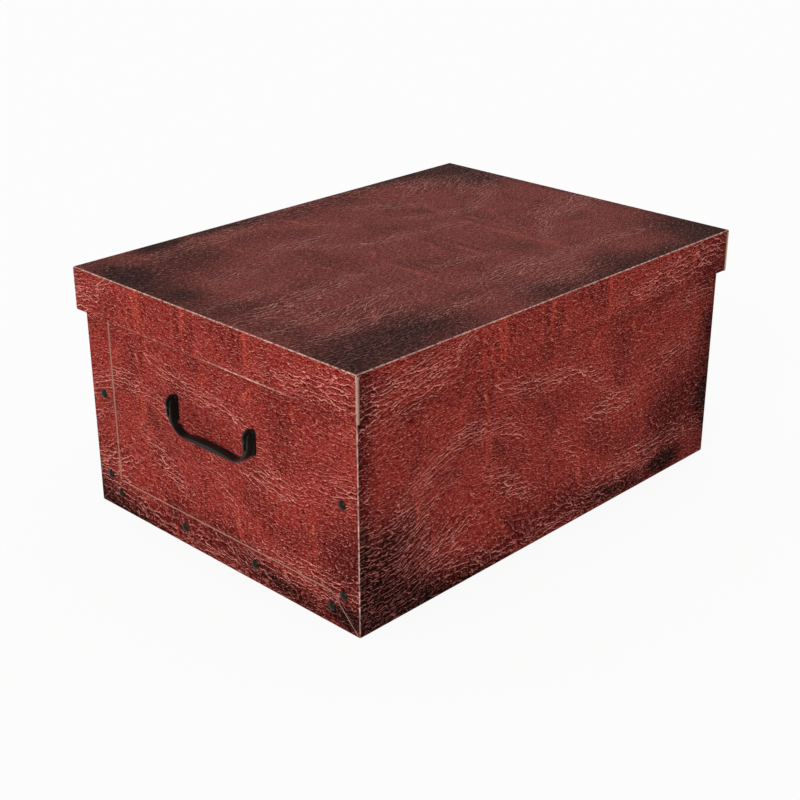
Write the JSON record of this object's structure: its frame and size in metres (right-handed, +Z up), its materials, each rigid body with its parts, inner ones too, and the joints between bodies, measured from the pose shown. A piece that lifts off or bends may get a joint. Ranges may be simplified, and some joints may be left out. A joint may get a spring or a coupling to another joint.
{
  "type": "storage box",
  "caption": "Rectangular board storage box with a lift-off lid, riveted ends and a drop handle at each end.",
  "frame": {"origin": "middle of the box's bottom face, on the surface it stands on", "axes": "+Z up, Y along the box with the front handle end at -Y, X across"},
  "size_m": [0.3716, 0.521, 0.24],
  "materials": {
    "printed_board": "satin printed board",
    "black_plastic": "semi-matte black moulded plastic"
  },
  "bodies": {
    "box": {"body_sheet": "printed_board", "end_panel_front": "printed_board", "end_panel_rear": "printed_board", "handle_bracket_front_left": "black_plastic", "handle_bracket_front_right": "black_plastic", "handle_bracket_rear_left": "black_plastic", "handle_bracket_rear_right": "black_plastic", "bracket_clip_front_left": "black_plastic", "bracket_clip_front_right": "black_plastic", "bracket_clip_rear_left": "black_plastic", "bracket_clip_rear_right": "black_plastic", "rivets_front_left": "black_plastic", "rivets_front_right": "black_plastic", "rivets_front_bottom": "black_plastic", "rivets_rear_left": "black_plastic", "rivets_rear_right": "black_plastic", "rivets_rear_bottom": "black_plastic", "rivet_sockets_front_left": "black_plastic", "rivet_sockets_front_right": "black_plastic", "rivet_sockets_front_bottom": "black_plastic", "rivet_sockets_rear_left": "black_plastic", "rivet_sockets_rear_right": "black_plastic", "rivet_sockets_rear_bottom": "black_plastic"},
    "lid": {"lid": "printed_board"},
    "handle_front": {"handle_front": "black_plastic"},
    "handle_rear": {"handle_rear": "black_plastic"}
  },
  "joints": [
    {"name": "lid_lift", "type": "slide", "parent": "box", "child": "lid", "axis": [0, 0, 1], "range_m": [0, 0.12]},
    {"name": "handle_front_swing", "type": "hinge", "parent": "box", "child": "handle_front", "pos_m": [0, -0.255, 0.1445], "axis": [-1, 0, 0], "range_deg": [0, 175]},
    {"name": "handle_rear_swing", "type": "hinge", "parent": "box", "child": "handle_rear", "pos_m": [0, 0.255, 0.1445], "axis": [1, 0, 0], "range_deg": [0, 175]}
  ]
}
